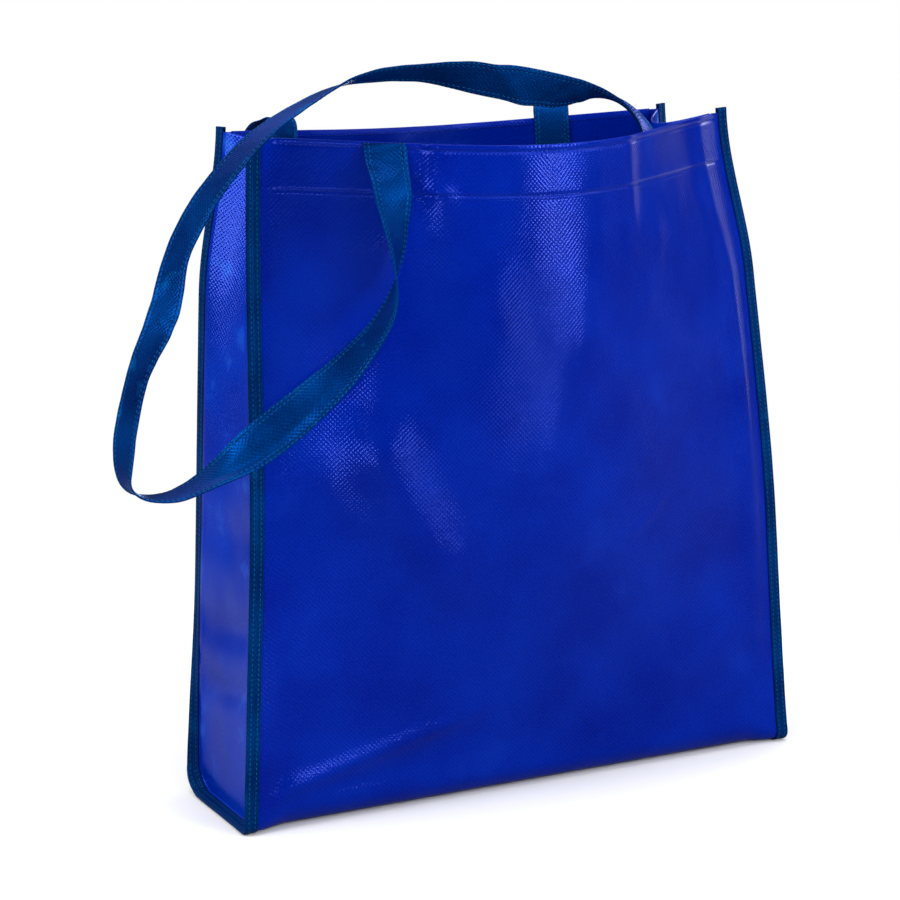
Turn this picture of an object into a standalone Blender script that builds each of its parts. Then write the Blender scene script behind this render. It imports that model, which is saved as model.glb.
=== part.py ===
# Non-woven shopping bag: one sheet for front, base and back, two side gussets,
# a folded binding tape round each gusset, and two long flat handles.
# Frame: +Z up, front towards -Y, origin on the floor under the middle of the base.
# The bag stands empty and open: its front and back bow outwards and its seams draw in
# towards the rim. Angles are in degrees, lengths in metres.

import math

import bmesh
import bpy
import numpy as np

# Sizes of the cut and sewn bag. The width is over the bindings at the base.
BAG_WIDTH = 0.380
BAG_DEPTH = 0.100
BAG_HEIGHT = 0.410
SHEET_THICKNESS = 0.0004
HEM_DEPTH = 0.031
TAPE_THICKNESS = 0.0004
BINDING_WIDTH = 0.009
BINDING_OVER_RIM = 0.0025
STRAP_WIDTH = 0.025
STRAP_THICKNESS = 0.0010
STRAP_OVERLAP = 0.029
STRAP_GAP = 0.0006
CLEARANCE = 0.0003

# How far the middles of the front and back bow out at the rim, and how that spreads:
# the rounder share over the width, and the power over the height
FRONT_BOW = 0.075
BACK_BOW = 0.050
BOW_ROUNDNESS = 0.6
BOW_RISE_POWER = 1.2
# How far the middles of the four rims sink below the corners of the mouth
FRONT_RIM_SAG = 0.0085
BACK_RIM_SAG = 0.0065
GUSSET_RIM_SAG = 0.0070
# How far both seams of a panel lean backwards at the rim, from this share of the height
FRONT_RIM_BACKSET = 0.021
BACK_RIM_BACKSET = 0.003
BACKSET_START = 0.35
# The gussets' pleat into the bag at the rim, from this share of the height
GUSSET_PLEAT = 0.020
PLEAT_START = 0.30
# Folds between the base and the panels, tighter at the seams over a share of the width
FOLD_RADIUS = 0.016
FRONT_CORNER_RADIUS = 0.007
BACK_CORNER_RADIUS = 0.016
CORNER_BLEND = 0.12
# Where the gusset turns into its binding, and where the tape's edge lies beside that
SEAM_BEND = 0.0010
TAPE_LIP = 0.0006
# The bindings carry on half as steeply as their panel ends; behind the bag they swing back
BINDING_FOLLOW = 0.5
BACK_BINDING_TURN = {-1: 90.0, 1: 40.0}

# How far each seam draws in at the rim, the share of it in the top quarter, and the
# power that spreads the rest over the height. Left is -1 and right is 1.
SEAM_DRAW = {
    ("front", -1): (0.0285, 0.0, 1.0),
    ("front", 1): (0.0278, 0.4, 0.8),
    ("back", -1): (0.0365, 0.25, 1.1),
    ("back", 1): (0.0240, 0.3, 0.8),
}
LATE_DRAW_START = 0.75

# Middle of each handle's two ends, as a share of the half width of its panel
FRONT_HANDLE_ENDS = (-0.608, 0.560)
BACK_HANDLE_ENDS = (-0.700, 0.578)
# How high the back handle arches over its rim
BACK_HANDLE_RISE = 0.008
# Turns of a strap as it comes over a rim, and its twist where the routes begin and end
RIM_ANGLES = (30.0, 60.0, 90.0, 120.0, 150.0)
FRONT_START_TWIST = 120.0
FRONT_END_TWIST = 60.0
BACK_END_TWIST = 90.0

# Route of the front handle from outside the front panel, round a low loop at the
# left, over the front left corner and the mouth, and down inside the front panel:
# x, y, z counted in the route unit and the twist, 0 where the width points straight back.
ROUTE_UNIT = 0.001
FRONT_ROUTE = [
    (-96, -85, 370, 80), (-98, -92, 338, 45), (-106, -94, 311, 5), (-126, -94, 287, -20),
    (-153, -92, 265, -45), (-180, -87, 245, -60), (-207, -79, 227, -15), (-232, -67, 214, 0),
    (-251, -55, 218, 0), (-251, -48, 242, 10), (-239, -42, 279, 10), (-221, -39, 313, 25),
    (-210, -35, 345, 15), (-196, -39, 372, 15), (-176, -45, 398, 10), (-152, -50, 419, 5),
    (-122, -53, 435, -5), (-96, -60, 443, -20), (-65, -68, 444, -25), (-30, -78, 439, -50),
    (13, -82, 430, -50), (54, -76, 423, 10), (81, -62, 405, 20), (86, -62, 391, 40),
]
# Route of the back handle, hanging behind the back panel in one plain loop.
BACK_ROUTE = [
    (-108, 98, 395, 90), (-112, 106, 362, 85), (-112, 112, 325, 70), (-105, 118, 288, 45),
    (-92, 123, 252, 20), (-72, 126, 222, 5), (-45, 128, 200, 0), (-13, 128, 190, 0),
    (20, 128, 192, 0), (50, 127, 207, 0), (76, 124, 233, 10), (94, 120, 267, 30),
    (104, 114, 303, 60), (107, 107, 340, 80), (105, 101, 372, 90),
]

# Mesh steps; the levels lie closer together near the rim
LEVEL_STEPS = 11
LEVEL_SPACING = 1.2
TURN_STEPS = 4
BASE_STEPS = 6
PANEL_STEPS = 24
RIM_FOLD_STEPS = 4
HEM_STEPS = 2
SEWN_STEPS = 3
TAPE_FOLD_STEPS = 4
ROUTE_STEPS = 3
FRAME_STEP = 0.02
SHARP_EDGE = 50.0

# Sizes that follow from those above: the layers in a binding, the seam's place, the fold
# over a rim, the gusset's place under the body sheet, and how far both reach into a tape
STACK = 2 * TAPE_THICKNESS + 2 * SHEET_THICKNESS + 3 * CLEARANCE
SEAM_HALF_WIDTH = BAG_WIDTH / 2 - BINDING_WIDTH
SEAM_LIFT = TAPE_THICKNESS + CLEARANCE
RIM_RADIUS = SHEET_THICKNESS + CLEARANCE / 2
GUSSET_OFFSET = -(2 * SHEET_THICKNESS + CLEARANCE)
FLANGE_REACH = BINDING_WIDTH - 2 * TAPE_THICKNESS - 3 * CLEARANCE
# The hems stop short of the seams, at this share of the half width
HEM_REACH = 0.97

SHEET_BLUE = (0.0, 0.035, 0.37, 1.0)
SHEET_ROUGHNESS = 0.32
TAPE_BLUE = (0.0, 0.060, 0.19, 1.0)
TAPE_ROUGHNESS = 0.42
STRAP_ROUGHNESS = 0.36


def smooth(share):
    share = min(max(share, 0.0), 1.0)
    return share * share * (3 - 2 * share)


def unit(vector):
    return vector / np.linalg.norm(vector)


def bow_across(u):
    """Share of the bow at u, from -1 at the left seam to 1 at the right seam."""
    u = min(max(u, -1.0), 1.0)
    round_part = 1 - u * u
    wave_part = (1 + math.cos(math.pi * u)) / 2
    return BOW_ROUNDNESS * round_part + (1 - BOW_ROUNDNESS) * wave_part


def bow_up(v):
    """Share of the bow at v, from 0 at the base to 1 at the rim."""
    return math.sin(math.pi / 2 * v) ** BOW_RISE_POWER


def seam_x(face, side, v):
    """Where the seam at one side of a panel lies, at a share v of the height."""
    draw, late, power = SEAM_DRAW[face, side]
    gradual = (1 - late) * v**power
    sudden = late * smooth((v - LATE_DRAW_START) / (1 - LATE_DRAW_START))
    return side * (SEAM_HALF_WIDTH - draw * (gradual + sudden))


def seam_y(face, v):
    backset = smooth((v - BACKSET_START) / (1 - BACKSET_START))
    if face == "front":
        return -BAG_DEPTH / 2 + FRONT_RIM_BACKSET * backset
    return BAG_DEPTH / 2 + BACK_RIM_BACKSET * backset


def seam_blend(u, corner_value, middle_value):
    """A value that changes smoothly close to the seams."""
    share = smooth((1 - abs(u)) / CORNER_BLEND)
    return corner_value + (middle_value - corner_value) * share


def base_lift(u):
    """Height of the underside at u: the tape under the seams lifts the base there."""
    return seam_blend(u, SEAM_LIFT, 0.0)


def turn_radius(face, u):
    corner = FRONT_CORNER_RADIUS if face == "front" else BACK_CORNER_RADIUS
    return seam_blend(u, corner, FOLD_RADIUS)


def across(face, u, v):
    left = seam_x(face, -1, v)
    right = seam_x(face, 1, v)
    return left + (right - left) * (u + 1) / 2


def panel_point(face, u, v):
    """Outside of the front or back panel."""
    outward = -1 if face == "front" else 1
    bow = FRONT_BOW if face == "front" else BACK_BOW
    sag = FRONT_RIM_SAG if face == "front" else BACK_RIM_SAG
    bottom = base_lift(u) + turn_radius(face, u)
    top = BAG_HEIGHT - RIM_RADIUS - sag * bow_across(u)
    y = seam_y(face, v) + outward * bow * bow_up(v) * bow_across(u)
    return np.array((across(face, u, v), y, bottom + v * (top - bottom)))


def turn_point(face, u, angle):
    """Outside of the rounded fold between a panel and the base, 0 at the panel."""
    outward = -1 if face == "front" else 1
    radius = turn_radius(face, u)
    y = outward * (BAG_DEPTH / 2 - radius * (1 - math.cos(math.radians(angle))))
    z = base_lift(u) + radius * (1 - math.sin(math.radians(angle)))
    return np.array((across(face, u, 0.0), y, z))


def base_point(u, share):
    front = turn_point("front", u, 90.0)
    back = turn_point("back", u, 90.0)
    return front + (back - front) * share


def levels():
    """Height shares from the rim down to just above the bottom fold."""
    return [1 - (step / LEVEL_STEPS) ** LEVEL_SPACING for step in range(LEVEL_STEPS + 1)]


def body_rows():
    """Row functions of the body sheet from the front rim, under the base, to the back rim."""
    rows = [lambda u, v=v: panel_point("front", u, v) for v in levels()]
    angles = [90.0 * step / TURN_STEPS for step in range(1, TURN_STEPS + 1)]
    rows += [lambda u, a=a: turn_point("front", u, a) for a in angles]
    shares = [step / BASE_STEPS for step in range(1, BASE_STEPS)]
    rows += [lambda u, s=s: base_point(u, s) for s in shares]
    rows += [lambda u, a=a: turn_point("back", u, a) for a in reversed(angles)]
    rows += [lambda u, v=v: panel_point("back", u, v) for v in reversed(levels())]
    return rows


def binding_turns(side):
    """Turn of the binding about its seam at each row: it swings back behind the bag."""
    straight = LEVEL_STEPS + 1 + TURN_STEPS + BASE_STEPS - 1
    turns = [0.0] * straight
    for step in range(TURN_STEPS + LEVEL_STEPS + 1):
        turns.append(BACK_BINDING_TURN[side] * smooth((step - 1) / (TURN_STEPS + 2)))
    return turns


def seam_frames(side):
    """Seam point, binding direction and outside direction at each row of one side."""
    rows = body_rows()
    points = [row(side) for row in rows]
    frames = []
    for index, turn in enumerate(binding_turns(side)):
        before = points[max(index - 1, 0)]
        after = points[min(index + 1, len(points) - 1)]
        along = unit(after - before)
        outwards = points[index] - rows[index](side * HEM_REACH)
        outwards[1] *= BINDING_FOLLOW
        outwards = unit(outwards - along * outwards.dot(along))
        facing = side * np.cross(along, outwards)
        turned = math.radians(turn)
        binding = outwards * math.cos(turned) + facing * math.sin(turned)
        outside = facing * math.cos(turned) - outwards * math.sin(turned)
        frames.append((points[index], binding, outside))
    return frames


def add_grid(mesh, grid, flipped=False, cuts=None):
    """Faces between rows of vertices. A column is cut into triangles if cuts names it.

    A cut "out" runs from the first column to the second as it goes down a row, and a cut
    "in" from the second to the first. Twisted strips that lie on each other need one cut.
    """
    cuts = cuts or {}
    for row, next_row in zip(grid, grid[1:]):
        for column in range(len(row) - 1):
            first, below = row[column], next_row[column]
            across_below, second = next_row[column + 1], row[column + 1]
            faces = [[first, below, across_below, second]]
            if cuts.get(column) == "out":
                faces = [[first, below, across_below], [first, across_below, second]]
            elif cuts.get(column) == "in":
                faces = [[first, below, second], [below, across_below, second]]
            for corners in faces:
                if flipped:
                    corners.reverse()
                mesh.faces.new(corners)


def finish(name, mesh, thickness, offset, material):
    """Make an object of a surface: a solid of even thickness, shaded smooth."""
    data = bpy.data.meshes.new(name)
    mesh.to_mesh(data)
    mesh.free()
    data.shade_smooth()
    data.set_sharp_from_angle(angle=math.radians(SHARP_EDGE))
    data.materials.append(material)
    item = bpy.data.objects.new(name, data)
    bpy.context.collection.objects.link(item)
    solidify = item.modifiers.new("Thickness", "SOLIDIFY")
    solidify.thickness = thickness
    solidify.offset = offset
    solidify.use_even_offset = True
    solidify.use_quality_normals = True
    return item


def make_material(name, colour, roughness):
    material = bpy.data.materials.new(name)
    material.use_nodes = True
    shader = material.node_tree.nodes["Principled BSDF"]
    shader.inputs["Base Color"].default_value = colour
    shader.inputs["Roughness"].default_value = roughness
    shader.inputs["Metallic"].default_value = 0.0
    return material


def rim_fold(point, down, inward):
    """Points of the fold over a rim, from just past the outside to the inside."""
    centre = point + inward * RIM_RADIUS
    points = []
    for step in range(1, RIM_FOLD_STEPS + 1):
        angle = math.pi * step / RIM_FOLD_STEPS
        outward_part = -inward * RIM_RADIUS * math.cos(angle)
        points.append(centre + outward_part - down * RIM_RADIUS * math.sin(angle))
    return points


def hem_depths():
    return [HEM_DEPTH * step / HEM_STEPS for step in range(1, HEM_STEPS + 1)]


def panel_frame(face, u, v=1.0):
    """Point, downward direction and inward direction on the outside of a panel."""
    point = panel_point(face, u, v)
    below = panel_point(face, u, v - FRAME_STEP)
    sideways = panel_point(face, u + FRAME_STEP, v) - panel_point(face, u - FRAME_STEP, v)
    down = unit(below - point)
    inward = unit(np.cross(sideways, down))
    if face == "back":
        inward = -inward
    return point, down, inward


def hem_point(face, u, depth):
    """Inside face of the hem, that far below the rim, and the inward direction there."""
    v = 1 - depth / (BAG_HEIGHT - turn_radius(face, u))
    point, down, inward = panel_frame(face, u, v)
    return point + inward * 2 * RIM_RADIUS, down, inward


def build_body_sheet(material):
    """Front, base and back in one sheet, with its hems and the edges under the bindings."""
    mesh = bmesh.new()
    across_steps = [HEM_REACH * (2 * step / PANEL_STEPS - 1) for step in range(PANEL_STEPS + 1)]
    rows = body_rows()
    left = seam_frames(-1)
    right = seam_frames(1)
    grid = []
    for row, left_frame, right_frame in zip(rows, left, right):
        line = [left_frame[0] + left_frame[1] * FLANGE_REACH, left_frame[0]]
        line += [row(u) for u in across_steps]
        line += [right_frame[0], right_frame[0] + right_frame[1] * FLANGE_REACH]
        grid.append([mesh.verts.new(point) for point in line])
    edge_column = len(grid[0]) - 2
    add_grid(mesh, grid, cuts={0: "in", edge_column: "out"})
    for face, rim in (("front", grid[0]), ("back", grid[-1])):
        hemmed = rim[2:-2]
        columns = []
        for vert, u in zip(hemmed, across_steps):
            folded = rim_fold(*panel_frame(face, u))
            folded += [hem_point(face, u, depth)[0] for depth in hem_depths()]
            columns.append([vert] + [mesh.verts.new(place) for place in folded])
        hem = [list(line) for line in zip(*columns)]
        if face == "front":
            hem.reverse()
        add_grid(mesh, hem)
    return finish("body_sheet", mesh, SHEET_THICKNESS, -1.0, material)


def gusset_chain(side):
    """Edge of the gusset panel beside the binding, and the strips that reach into it."""
    chain = []
    for seam, binding, outside in seam_frames(side):
        centre = seam + outside * (GUSSET_OFFSET - SEAM_BEND)
        panel_edge = centre - binding * SEAM_BEND
        halfway = centre + (outside - binding) * SEAM_BEND * math.sin(math.pi / 4)
        flange = seam + outside * GUSSET_OFFSET
        chain.append((panel_edge, halfway, flange, flange + binding * FLANGE_REACH))
    return chain


def build_gusset(name, side, material):
    """Side panel with a rounded bottom, drawn inwards to a soft pleat at its rim."""
    mesh = bmesh.new()
    chain = gusset_chain(side)
    strips = [[mesh.verts.new(point) for point in station] for station in chain]
    edge = [station[0] for station in strips]
    row_count = LEVEL_STEPS + TURN_STEPS + 1
    heights = levels() + [0.0] * TURN_STEPS
    grid = []
    for row in range(row_count):
        front_vert = edge[row]
        back_vert = edge[-1 - row]
        pleat = GUSSET_PLEAT * smooth((heights[row] - PLEAT_START) / (1 - PLEAT_START))
        sag = GUSSET_RIM_SAG * heights[row]
        line = [front_vert]
        for step in range(1, BASE_STEPS):
            share = step / BASE_STEPS
            if row == row_count - 1:
                line.append(edge[row_count - 1 + step])
                continue
            front = np.array(front_vert.co)
            back = np.array(back_vert.co)
            point = front + (back - front) * share
            hollow = math.sin(math.pi * share)
            point += np.array((-side * pleat * hollow, 0.0, -sag * hollow))
            line.append(mesh.verts.new(point))
        line.append(back_vert)
        grid.append(line)
    add_grid(mesh, grid, flipped=side < 0)
    add_grid(mesh, strips, flipped=side > 0, cuts={0: "out", 1: "out", 2: "out"})
    columns = []
    for step in range(1, BASE_STEPS):
        rim = np.array(grid[0][step].co)
        down = unit(np.array(grid[1][step].co) - rim)
        sideways = np.array(grid[0][step + 1].co) - np.array(grid[0][step - 1].co)
        inward = unit(np.cross(sideways, down))
        if inward[0] * side > 0:
            inward = -inward
        folded = rim_fold(rim, down, inward)
        folded += [folded[-1] + down * depth for depth in hem_depths()]
        columns.append([grid[0][step]] + [mesh.verts.new(place) for place in folded])
    hem = [list(line) for line in zip(*columns)]
    add_grid(mesh, hem, flipped=side > 0)
    return finish(name, mesh, SHEET_THICKNESS, -1.0, material)


def tape_section(seam, binding, outside):
    """Outline of the folded tape round the two sheet edges, from one lip to the other."""
    top = CLEARANCE + TAPE_THICKNESS
    centre_offset = top - STACK / 2
    fold_start = BINDING_WIDTH - STACK / 2
    places = [(TAPE_LIP, top), (fold_start, top)]
    for step in range(1, TAPE_FOLD_STEPS + 1):
        angle = math.pi * step / TAPE_FOLD_STEPS
        reach = fold_start + STACK / 2 * math.sin(angle)
        places.append((reach, centre_offset + STACK / 2 * math.cos(angle)))
    places.append((TAPE_LIP, top - STACK))
    return [seam + binding * reach + outside * height for reach, height in places]


def build_binding(name, side, material):
    """Tape folded over the seam down the front edge, under the gusset and up the back edge."""
    mesh = bmesh.new()
    frames = seam_frames(side)
    sections = [tape_section(*frame) for frame in frames]
    over = RIM_RADIUS + BINDING_OVER_RIM
    first = [top + unit(top - below) * over for top, below in zip(sections[0], sections[1])]
    last = [top + unit(top - below) * over for top, below in zip(sections[-1], sections[-2])]
    sections = [first] + sections + [last]
    grid = [[mesh.verts.new(point) for point in section] for section in sections]
    columns = len(grid[0]) - 1
    cuts = {column: "out" if column < columns / 2 else "in" for column in range(columns)}
    add_grid(mesh, grid, flipped=side < 0, cuts=cuts)
    return finish(name, mesh, TAPE_THICKNESS, -1.0, material)


def route_points(controls):
    """Smooth curve through the controls, by cubic pieces with shared tangents."""
    controls = np.array(controls, dtype=float)
    tangents = np.gradient(controls, axis=0)
    points = []
    for index in range(len(controls) - 1):
        for step in range(ROUTE_STEPS):
            t = step / ROUTE_STEPS
            points.append(
                controls[index] * (2 * t**3 - 3 * t**2 + 1)
                + tangents[index] * (t**3 - 2 * t**2 + t)
                + controls[index + 1] * (3 * t**2 - 2 * t**3)
                + tangents[index + 1] * (t**3 - t**2)
            )
    points.append(controls[-1])
    return np.array(points)


def strap_rows(controls):
    """Edge, middle and edge of a strap along its route of x, y, z and twist."""
    route = route_points(controls)
    centres = route[:, :3]
    directions = np.gradient(centres, axis=0)
    rows = []
    for centre, direction, twist in zip(centres, directions, route[:, 3]):
        along = unit(direction)
        deep = np.array((0.0, 1.0, 0.0))
        deep = unit(deep - along * along[1])
        beside = np.cross(along, deep)
        angle = math.radians(twist)
        width = (deep * math.cos(angle) + beside * math.sin(angle)) * STRAP_WIDTH / 2
        rows.append([centre - width, centre, centre + width])
    return rows


def sewn_rows(face, u, side):
    """Rows of a strap lying on the hem, from its end up to the rim; side flips its edges."""
    half = STRAP_WIDTH / (2 * SEAM_HALF_WIDTH)
    off_hem = STRAP_GAP + STRAP_THICKNESS / 2
    rows = []
    for step in range(SEWN_STEPS + 1):
        depth = STRAP_OVERLAP * (1 - step / SEWN_STEPS)
        row = []
        for place in (u - side * half, u, u + side * half):
            point, down, inward = hem_point(face, place, depth)
            row.append(point + inward * off_hem)
        rows.append(row)
    return rows


def rim_rows(face, u, side, rise):
    """Rows of a strap from the hem over the rim to the outside of the panel."""
    half = STRAP_WIDTH / (2 * SEAM_HALF_WIDTH)
    radius = RIM_RADIUS + STRAP_GAP + STRAP_THICKNESS / 2
    rows = []
    for angle in RIM_ANGLES:
        row = []
        for place in (u - side * half, u, u + side * half):
            point, down, inward = panel_frame(face, place)
            centre = point + inward * RIM_RADIUS
            swing = math.radians(angle)
            reach = radius * math.cos(swing) - rise * (1 - math.cos(swing)) / 2
            height = (radius + rise) * math.sin(swing)
            row.append(centre + inward * reach - down * height)
        rows.append(row)
    return rows


def control_at(row, twist):
    """Control point of a route in the middle of a row."""
    return (*row[1], twist)


def in_metres(route):
    return [(x * ROUTE_UNIT, y * ROUTE_UNIT, z * ROUTE_UNIT, twist) for x, y, z, twist in route]


def build_strap(name, rows, material):
    mesh = bmesh.new()
    add_grid(mesh, [[mesh.verts.new(point) for point in row] for row in rows])
    return finish(name, mesh, STRAP_THICKNESS, 0.0, material)


def build_front_handle(material):
    """Sewn inside the front hem at both ends; its left end is folded over the rim."""
    start, end = FRONT_HANDLE_ENDS
    hem_rows = sewn_rows("front", start, 1)
    fold_rows = rim_rows("front", start, 1, 0.0)
    landing = sewn_rows("front", end, 1)
    controls = [control_at(fold_rows[-1], FRONT_START_TWIST)]
    controls += in_metres(FRONT_ROUTE)
    controls.append(control_at(landing[1], FRONT_END_TWIST))
    free_rows = strap_rows(controls)
    rows = hem_rows + fold_rows + free_rows[1:-1] + [landing[1], landing[0]]
    return build_strap("front_handle", rows, material)


def build_back_handle(material):
    """Sewn inside the back hem, arched over the rim and hanging behind the bag."""
    start, end = BACK_HANDLE_ENDS
    left_sewn = sewn_rows("back", start, 1)
    left_fold = rim_rows("back", start, 1, BACK_HANDLE_RISE)
    right_sewn = sewn_rows("back", end, -1)
    right_fold = rim_rows("back", end, -1, BACK_HANDLE_RISE)
    controls = [control_at(left_fold[-1], BACK_END_TWIST)]
    controls += in_metres(BACK_ROUTE)
    controls.append(control_at(right_fold[-1], BACK_END_TWIST))
    free_rows = strap_rows(controls)
    rows = left_sewn + left_fold + free_rows[1:-1] + right_fold[::-1] + right_sewn[::-1]
    return build_strap("back_handle", rows, material)


def main():
    for item in list(bpy.data.objects):
        bpy.data.objects.remove(item)
    sheet = make_material("laminated_sheet", SHEET_BLUE, SHEET_ROUGHNESS)
    tape = make_material("binding_tape", TAPE_BLUE, TAPE_ROUGHNESS)
    strap = make_material("strap_cloth", TAPE_BLUE, STRAP_ROUGHNESS)
    build_body_sheet(sheet)
    build_gusset("left_gusset", -1, sheet)
    build_gusset("right_gusset", 1, sheet)
    build_binding("left_binding", -1, tape)
    build_binding("right_binding", 1, tape)
    build_front_handle(strap)
    build_back_handle(strap)


main()
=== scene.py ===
import math

import bmesh
import bpy
import numpy as np
from mathutils import Matrix, Vector, noise


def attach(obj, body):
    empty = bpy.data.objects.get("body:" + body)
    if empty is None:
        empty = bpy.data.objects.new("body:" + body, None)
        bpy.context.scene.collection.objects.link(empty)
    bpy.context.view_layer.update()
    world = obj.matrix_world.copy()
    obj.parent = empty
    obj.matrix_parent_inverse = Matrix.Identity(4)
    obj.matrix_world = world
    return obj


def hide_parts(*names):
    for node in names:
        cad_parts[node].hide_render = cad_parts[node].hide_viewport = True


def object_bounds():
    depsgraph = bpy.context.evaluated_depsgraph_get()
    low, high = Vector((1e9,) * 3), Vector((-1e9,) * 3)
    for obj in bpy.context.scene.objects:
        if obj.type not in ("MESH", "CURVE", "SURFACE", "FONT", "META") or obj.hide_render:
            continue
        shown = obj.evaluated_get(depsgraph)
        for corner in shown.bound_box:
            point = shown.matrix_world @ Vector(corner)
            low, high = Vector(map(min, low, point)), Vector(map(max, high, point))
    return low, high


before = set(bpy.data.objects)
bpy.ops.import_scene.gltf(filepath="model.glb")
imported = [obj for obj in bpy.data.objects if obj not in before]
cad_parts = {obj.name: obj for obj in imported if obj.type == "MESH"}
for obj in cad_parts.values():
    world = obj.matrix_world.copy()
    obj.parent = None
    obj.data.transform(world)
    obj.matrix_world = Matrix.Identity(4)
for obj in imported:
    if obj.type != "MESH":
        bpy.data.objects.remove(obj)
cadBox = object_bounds()

# The standing bag, in metres and degrees, with its front towards -Y.
bag = {
    "width": 0.380, "depth": 0.100, "height": 0.410,
    "finWidth": 0.009,
    "sheet": 0.0004,
    "gap": 0.0003,  # between two layers of cloth
    "bow": {"front": 0.075, "back": 0.050},
    "rimSag": {"front": 0.0085, "back": 0.0065},
    "bowRound": 0.6,
    "bowRise": 1.2,
    "backset": {"front": 0.021, "back": 0.003},
    "backsetStart": 0.35,
    "foldRadius": 0.016,
    "cornerRadius": {"front": 0.007, "back": 0.016},
    "cornerBlend": 0.12,
    "lateDraw": 0.75,
    # draw in at the rim, share of it near the top, power of the rest
    "seamDraw": {
        ("front", -1): (0.0285, 0.0, 1.0),
        ("front", 1): (0.0278, 0.4, 0.8),
        ("back", -1): (0.0365, 0.25, 1.1),
        ("back", 1): (0.0240, 0.3, 0.8),
    },
    "finFollow": 0.5,  # how far a fin points with the bow of the panel
    "finTurn": {-1: 90.0, 1: 40.0},  # how far it swings back, left and right
    "hemReach": 0.97,
    "hemDepth": 0.031,
    "rimStitch": 0.0032,  # how far the two seams lie below the rim
    "hemStitch": 0.0292,
    "stitchReach": 0.955,
}
halfWidth = bag["width"] / 2 - bag["finWidth"]
seamLift = bag["sheet"] + bag["gap"]
rimRadius = bag["sheet"] + bag["gap"] / 2
stackHeight = 4 * bag["sheet"] + 3 * bag["gap"]
flangeReach = bag["finWidth"] - 2 * bag["sheet"] - 3 * bag["gap"]
panelSpan = bag["height"] - bag["foldRadius"]


def smooth(share):
    share = np.clip(share, 0.0, 1.0)
    return share * share * (3 - 2 * share)


def hill(place, middle, half):
    return np.exp(-(((place - middle) / half) ** 2))


def unit(vectors):
    vectors = np.asarray(vectors, dtype=float)
    return vectors / np.linalg.norm(vectors, axis=-1, keepdims=True)


def stack(x, y, z):
    return np.stack(np.broadcast_arrays(x, y, z), axis=-1)


def lengthsAlong(points):
    steps = np.linalg.norm(np.diff(points, axis=0), axis=1)
    return np.concatenate([[0.0], np.cumsum(steps)])


def bowAcross(u):
    u = np.clip(u, -1.0, 1.0)
    return bag["bowRound"] * (1 - u * u) + (1 - bag["bowRound"]) * (1 + np.cos(np.pi * u)) / 2


def bowUp(v):
    return np.sin(np.pi / 2 * np.clip(v, 0.0, 1.0)) ** bag["bowRise"]


def seamX(face, side, v):
    draw, late, power = bag["seamDraw"][face, side]
    gradual = (1 - late) * np.clip(v, 0.0, 1.0) ** power
    sudden = late * smooth((v - bag["lateDraw"]) / (1 - bag["lateDraw"]))
    return side * (halfWidth - draw * (gradual + sudden))


def outwardY(face):
    return -1 if face == "front" else 1


def seamY(face, v):
    backset = smooth((v - bag["backsetStart"]) / (1 - bag["backsetStart"]))
    return outwardY(face) * bag["depth"] / 2 + bag["backset"][face] * backset


def towardsSeam(u, atCorner, inMiddle):
    share = smooth((1 - np.abs(u)) / bag["cornerBlend"])
    return atCorner + (inMiddle - atCorner) * share


def turnRadius(face, u):
    return towardsSeam(u, bag["cornerRadius"][face], bag["foldRadius"])


def acrossX(face, u, v):
    left = seamX(face, -1, v)
    return left + (seamX(face, 1, v) - left) * (u + 1) / 2


def plainPanel(face, u, v):
    bottom = towardsSeam(u, seamLift, 0.0) + turnRadius(face, u)
    top = bag["height"] - rimRadius - bag["rimSag"][face] * bowAcross(u)
    y = seamY(face, v) + outwardY(face) * bag["bow"][face] * bowUp(v) * bowAcross(u)
    return stack(acrossX(face, u, v), y, bottom + v * (top - bottom))


def panelFrame(face, u, v):
    # point on the outside, direction down the sheet and direction into the bag
    step = 0.01
    point = plainPanel(face, u, v)
    down = unit(plainPanel(face, u, v - step) - plainPanel(face, u, v + step))
    sideways = plainPanel(face, u + step, v) - plainPanel(face, u - step, v)
    inward = unit(np.cross(sideways, down))
    return point, down, -inward if face == "back" else inward


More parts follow.
